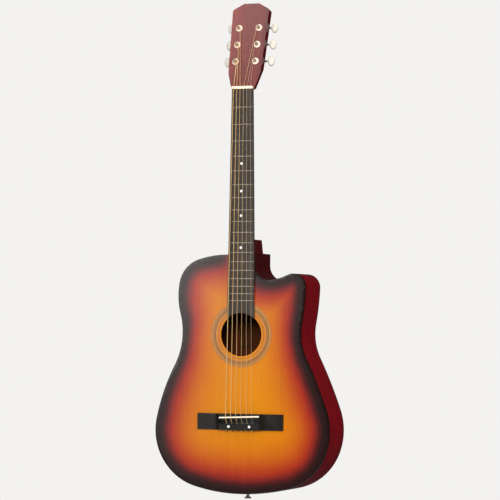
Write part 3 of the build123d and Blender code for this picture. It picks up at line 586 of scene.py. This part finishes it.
def plate_mesh(name, face_y, inwards, profile, hole_radius=None, spacing=0.007):
    """A body plate with a rounded rim. Its profile lists (inset in mm, depth in metres) from
    the outer face round the rim to the hidden face; inwards is the sense of depth along Y."""
    rings = [body_line(inset) for inset, _ in profile]
    count = len(rings[0])
    points = [Vector((p.x, p.y)) for p in rings[0]]
    edges = [(k, (k + 1) % count) for k in range(count)]
    if hole_radius:
        for k in range(HOLE_SEGMENTS):
            angle = 2 * math.pi * k / HOLE_SEGMENTS
            points.append(Vector((hole_radius * math.cos(angle), HOLE_Z + hole_radius * math.sin(angle))))
            edges.append((count + k, count + (k + 1) % HOLE_SEGMENTS))
    half = BOARD_HIGH.x
    for row in range(round(BODY_TOP / spacing / ROW_PITCH)):
        for column in range(round(2 * half / spacing) + 1):
            x = -half + (column + row % 2 / 2) * spacing
            points.append(Vector((x, (row + 0.5) * spacing * ROW_PITCH)))
    co, _, triangles, _, _, _ = delaunay_2d_cdt(points, edges, [list(range(count))], 1, 1e-7)
    centre = Vector((0.0, HOLE_Z))
    if hole_radius:
        clear = hole_radius * 0.999
        triangles = [t for t in triangles if ((co[t[0]] + co[t[1]] + co[t[2]]) / 3 - centre).length > clear]
    mesh = bmesh.new()

    def add(x, z, depth):
        return mesh.verts.new((x, face_y + inwards * depth, z))

    used = sorted({i for triangle in triangles for i in triangle})
    front = {i: add(co[i].x, co[i].y, profile[0][1]) for i in used}
    for triangle in triangles:
        mesh.faces.new([front[i] for i in triangle])
    rim = [front[k] for k in range(count)]
    for ring, (_, depth) in zip(rings[1:], profile[1:]):
        following = [add(p.x, p.y, depth) for p in ring]
        for k in range(count):
            mesh.faces.new((rim[k], rim[(k + 1) % count], following[(k + 1) % count], following[k]))
        rim = following
    hidden_depth = profile[-1][1]
    under = {i: add(co[i].x, co[i].y, hidden_depth) for i in used if i >= count}
    under.update(enumerate(rim))
    for triangle in triangles:
        mesh.faces.new([under[i] for i in reversed(triangle)])
    if hole_radius:
        for k in range(HOLE_SEGMENTS):
            near, far = count + k, count + (k + 1) % HOLE_SEGMENTS
            mesh.faces.new((front[near], front[far], under[far], under[near]))
    bmesh.ops.recalc_face_normals(mesh, faces=mesh.faces)
    data = bpy.data.meshes.new(name)
    mesh.to_mesh(data)
    mesh.free()
    set_attribute(data, "edge", [burst_distance(v.co.x, v.co.z) for v in data.vertices])
    hidden_y = face_y + inwards * hidden_depth
    set_attribute(data, "inside", [float(abs(v.co.y - hidden_y) < 1e-6) for v in data.vertices])
    return data


def make_soundboard():
    """Spruce top with a lacquer-rounded rim and the soundhole's edge."""
    profile = [(0.7, 0.0), (0.4, 0.00008), (0.16, 0.00024), (0.05, 0.00046), (CLEAR, 0.0008)]
    profile.append((CLEAR, TOP_THICK))
    mesh = plate_mesh("soundboard_top", FACE_Y, 1, profile, HOLE_R)
    smooth(mesh, 40)
    return make_piece("soundboard_top", mesh, "sunburst_lacquer", "soundboard")


def make_back():
    """Flat back with a rounded rim."""
    profile = [(1.6, 0.0), (0.9, 0.00015), (0.35, 0.0005), (0.08, 0.0011), (CLEAR, 0.0016)]
    profile.append((CLEAR, BACK_THICK))
    mesh = plate_mesh("back_plate", BACK_HIGH.y, -1, profile, None, 0.014)
    for item in mesh.attributes["edge"].data:
        item.value = min(1.0, item.value / 0.05)
    smooth(mesh, 40)
    piece = make_piece("back_plate", mesh, "cherry_lacquer_flat", "back_panel")
    return piece


def make_side(name, node, line):
    """One bent side. Its map runs along the bend and across the side, in metres."""
    outer = [Vector((x * MM, z * MM)) for x, z in line(CLEAR)]
    inner = [Vector((x * MM, z * MM)) for x, z in line(SIDE_THICK)]
    low, high = SIDE_LOW.y, SIDE_HIGH.y
    shares = (0, 0.01, 0.03, 0.06, 0.1, 0.2, 0.4, 0.6, 0.8, 0.9, 0.94, 0.97, 0.99, 1)
    steps = [low + (high - low) * share for share in shares]
    mesh = bmesh.new()
    uv = mesh.loops.layers.uv.new("UVMap")
    map_place = {}
    travelled = 0.0
    rows = []
    for k, (out, within) in enumerate(zip(outer, inner)):
        if k:
            travelled += (out - outer[k - 1]).length
        corners = [(out.x, y, out.y) for y in steps] + [(within.x, high, within.y), (within.x, low, within.y)]
        column = [mesh.verts.new(corner) for corner in corners]
        for vertex in column:
            map_place[vertex] = (travelled, vertex.co.y)
        rows.append(column)
    size = len(rows[0])
    for a, b in zip(rows, rows[1:]):
        for j in range(size):
            mesh.faces.new((a[j], a[(j + 1) % size], b[(j + 1) % size], b[j]))
    mesh.faces.new(rows[0])
    mesh.faces.new(list(reversed(rows[-1])))
    bmesh.ops.recalc_face_normals(mesh, faces=mesh.faces)
    for face in mesh.faces:
        for loop in face.loops:
            loop[uv].uv = map_place[loop.vert]
    data = bpy.data.meshes.new(name)
    mesh.to_mesh(data)
    mesh.free()
    middle = (low + high) / 2
    reach = (high - low) / 2 + TOP_THICK
    edge = [min(1.0, (reach - abs(v.co.y - middle)) / 0.022) for v in data.vertices]
    # In the cutaway near the neck the edge value is lowered, so the side is darkened with painted shade that fades
    # away from the neck.
    for k, vertex in enumerate(data.vertices):
        if vertex.co.z > CUTAWAY_SHADE_Z and vertex.co.x > 0.0:
            edge[k] = min(edge[k], 0.17 + max(0.0, vertex.co.x - CUTAWAY_SHADE_X) / 0.04)
    set_attribute(data, "edge", edge)
    set_attribute(data, "inside", [float(k % size >= len(steps)) for k in range(len(data.vertices))])
    smooth(data, 50)
    return make_piece(name, data, "cherry_lacquer", node)


def make_rosette():
    """Inlaid rings, flush with the lacquer, in two bands with bare spruce between them."""
    mesh = bmesh.new()
    lift = 0.03 * MM
    turns = [2 * math.pi * k / ROSETTE_SEGMENTS for k in range(ROSETTE_SEGMENTS)]
    for inner, outer in ROSETTE_BANDS:
        count = max(2, round((outer - inner) / 1.6))
        rings = []
        for j in range(count + 1):
            radius = (inner + (outer - inner) * j / count) * MM
            ring = []
            for turn in turns:
                x, z = radius * math.cos(turn), HOLE_Z + radius * math.sin(turn)
                ring.append(mesh.verts.new((x, FACE_Y - lift, z)))
            rings.append(ring)
        for ring, following in zip(rings, rings[1:]):
            for k in range(ROSETTE_SEGMENTS):
                after = (k + 1) % ROSETTE_SEGMENTS
                mesh.faces.new((ring[k], following[k], following[after], ring[after]))
    extruded = bmesh.ops.extrude_face_region(mesh, geom=list(mesh.faces), use_keep_orig=True)
    for item in extruded["geom"]:
        if isinstance(item, bmesh.types.BMVert):
            item.co.y += 0.6 * MM
    bmesh.ops.recalc_face_normals(mesh, faces=mesh.faces)
    centre = Vector((0.0, HOLE_Z))
    values = [(Vector((vertex.co.x, vertex.co.z)) - centre).length for vertex in mesh.verts]
    data = bpy.data.meshes.new("rosette_rings")
    mesh.to_mesh(data)
    mesh.free()
    set_attribute(data, "ring_radius", values)
    smooth(data, 40)
    return make_piece("rosette_rings", data, "rosette_inlay", "rosette")


def softened(node, slot, width, angle=32.0, body=GUITAR, material=None):
    """A smooth-shaded copy of a CAD node that stands for the node. Its sharp edges are eased
    by the width; with a width of 0 they stay as they are."""
    mesh = NODES[node].data.copy()
    mesh.name = node + "_eased"
    work = bmesh.new()
    work.from_mesh(mesh)
    bmesh.ops.remove_doubles(work, verts=work.verts, dist=1e-6)
    bmesh.ops.dissolve_limit(work, angle_limit=math.radians(0.6), verts=work.verts, edges=work.edges)
    work.to_mesh(mesh)
    work.free()
    piece = make_piece(node + "_eased", mesh, slot, node, body)
    if width:
        bevel = piece.modifiers.new("eased", "BEVEL")
        bevel.width = width
        bevel.segments = 2
        bevel.limit_method = "ANGLE"
        bevel.angle_limit = math.radians(angle)
    smooth(mesh, angle)
    if material:
        paint(piece, material)
    return piece


def make_label():
    """The paper label, with a distance-to-edge value for its border line."""
    mesh = NODES["soundhole_label"].data.copy()
    work = bmesh.new()
    work.from_mesh(mesh)
    bmesh.ops.remove_doubles(work, verts=work.verts, dist=1e-6)
    bmesh.ops.subdivide_edges(work, edges=work.edges, cuts=24, use_grid_fill=True)
    work.to_mesh(mesh)
    work.free()
    low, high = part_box("soundhole_label")
    values = []
    for vertex in mesh.vertices:
        x, z = vertex.co.x, vertex.co.z
        inside = min(x - low.x, high.x - x, z - low.z, high.z - z)
        values.append(min(1.0, inside / 0.028))
    set_attribute(mesh, "edge", values)
    return make_piece("label", mesh, "label_paper", "soundhole_label")


def make_string_tails():
    """The cut end of each string, standing out of the hole through its post."""
    normal = Vector((0, -math.cos(HEAD_ANGLE), math.sin(HEAD_ANGLE)))
    along = Vector((0, math.sin(HEAD_ANGLE), math.cos(HEAD_ANGLE)))
    joint_places = {joint["name"]: Vector(joint["pos_m"]) for joint in frame["joints"]}
    for number, diameter in enumerate(STRING_DIAMETERS, start=1):
        hole = joint_places[f"post_turn_{number}"] + normal * STRING_HOLE_ABOVE_GEAR
        curve = bpy.data.curves.new(f"string_tail_{number}", "CURVE")
        curve.dimensions = "3D"
        curve.bevel_depth = diameter * MM / 2
        curve.bevel_resolution = 3
        curve.use_fill_caps = True
        spline = curve.splines.new("POLY")
        places = [hole - along * 3.6 * MM, hole + along * 3.6 * MM, hole + (along * 4.6 + normal * 0.6) * MM]
        spline.points.add(len(places) - 1)
        for point, place in zip(spline.points, places):
            point.co = (*place, 1.0)
        piece = bpy.data.objects.new(f"string_tail_{number}", curve)
        bpy.context.scene.collection.objects.link(piece)
        slot = "wound_bronze" if number <= 4 else "plain_string"
        curve.materials.append(MATERIALS[slot])
        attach(piece, f"string_post_{number}")


# ---- build ---------------------------------------------------------------------------------------
SLOT_OF = {part["node"]: part["material_slot"] for part in frame["record"]["subparts"]}
for node_name, node_object in NODES.items():
    paint(node_object, SLOT_OF[node_name])


def build():
    """Every piece that stands for a CAD node, and the cut string ends."""
    make_soundboard()
    make_back()
    make_side("side_bass_bend", "side_bass", bass_line)
    make_side("side_treble_bend", "side_treble", treble_line)
    make_rosette()
    make_label()
    softened("bridge", "black_wood", 0.0004)
    softened("neck", "neck_lacquer", 0.0)
    softened("headstock_veneer", "headstock_wood", 0.0004)
    softened("fretboard", "dark_board", 0.0003)
    softened("nut", "cream_plastic", 0.0002)
    softened("saddle", "cream_plastic", 0.0)
    softened("tuner_plates", "plated_metal", 0.0002)
    softened("tuner_bushings", "cream_ferrule", 0.0)
    softened("strap_button", "strap_button_metal", 0.0)
    softened("frets", "fret_metal", 0.0, angle=50)
    for index in range(1, 7):
        softened(f"tuner_button_{index}", "ivory_plastic", 0.0, body=f"tuner_key_{index}", angle=50)
        softened(f"tuner_worm_{index}", "plated_metal", 0.0, body=f"tuner_key_{index}", angle=40)
        post = f"tuner_post_{index}"
        softened(post, "plated_metal", 0.0, body=f"string_post_{index}", angle=40, material="post_metal")
        softened(f"tuner_gear_{index}", "gear_brass", 0.0, body=f"string_post_{index}", angle=40)
    make_string_tails()


build()


# ---- studio ---------------------------------------------------------------------------------------
def area_light(name, place, target, size, power, mirrored=True):
    """A soft panel. One that isn't mirrored lights the guitar but doesn't show in its gloss."""
    data = bpy.data.lights.new(name, "AREA")
    data.shape = "RECTANGLE"
    data.size, data.size_y = size
    data.energy = power
    light = bpy.data.objects.new(name, data)
    direction = Vector(target) - Vector(place)
    light.location = place
    light.visible_glossy = mirrored
    light.rotation_euler = direction.to_track_quat("-Z", "Y").to_euler()
    bpy.context.scene.collection.objects.link(light)


def make_floor():
    """Pale floor, well below the hanging guitar."""
    mesh = bpy.data.meshes.new("floor")
    half, near, far, level = 1.0, -1.4, 0.5, -0.34
    corners = [(-half, near, level), (half, near, level), (half, far, level), (-half, far, level)]
    mesh.from_pydata(corners, [], [(0, 1, 2, 3)])
    floor = bpy.data.objects.new("floor", mesh)
    bpy.context.scene.collection.objects.link(floor)
    shader = Shader("pale_floor", roughness=0.7)
    speckle = shader.noise(shader.mapped((6, 6, 6)), detail=4.0)
    shader.colour(shader.ramp(speckle, [(0.3, linear(226, 225, 222)), (0.7, linear(236, 235, 232))]))
    mesh.materials.append(shader.material)


def make_world():
    """A pale surround behind the guitar that hardly shows in its lacquer."""
    world = bpy.data.worlds.new("studio")
    bpy.context.scene.world = world
    world.use_nodes = True
    tree = world.node_tree
    seen = tree.nodes["Background"]
    seen.inputs["Color"].default_value = linear(243, 242, 240)
    seen.inputs["Strength"].default_value = 1.0
    lit = tree.nodes.new("ShaderNodeBackground")
    lit.inputs["Color"].default_value = (0.62, 0.64, 0.66, 1)
    lit.inputs["Strength"].default_value = 0.04
    paths = tree.nodes.new("ShaderNodeLightPath")
    choose = tree.nodes.new("ShaderNodeMixShader")
    tree.links.new(paths.outputs["Is Camera Ray"], choose.inputs["Fac"])
    tree.links.new(lit.outputs["Background"], choose.inputs[1])
    tree.links.new(seen.outputs["Background"], choose.inputs[2])
    tree.links.new(choose.outputs["Shader"], tree.nodes["World Output"].inputs["Surface"])


def make_studio():
    """Soft lights. The sheen panels are what the top and the headstock mirror to the camera.
    The key isn't mirrored, because it would draw a hard white line along the rim of the top.
    The right fill isn't mirrored either."""
    make_floor()
    make_world()
    middle = (0.0, 0.0, 0.45)
    area_light("key", (0.9, -4.1, 1.5), middle, (2.0, 1.1), 186, mirrored=False)
    area_light("fill_right", (2.7, -1.3, 2.3), middle, (1.4, 1.4), 80, mirrored=False)
    area_light("sheen_high", (-2.8, -5.0, 1.45), (-2.8, 0.0, 1.45), (1.6, 2.3), 38)
    area_light("sheen_near", (-1.6, -5.0, 1.45), (-1.6, 0.0, 1.45), (0.8, 2.3), 3)
    area_light("sheen_low", (-2.9, -5.0, 0.0), (-2.9, 0.0, 0.0), (1.45, 0.65), 3)
    area_light("sheen_head", (-2.4, -5.0, 5.3), (0.0, 0.0, 0.87), (2.0, 1.6), 42)
    area_light("back_left", (-2.4, 2.6, 3.0), middle, (1.4, 1.4), 50)
    area_light("back_right", (3.0, 1.6, 3.4), middle, (1.4, 1.4), 50)
    bpy.context.scene.view_settings.view_transform = "Standard"


make_studio()
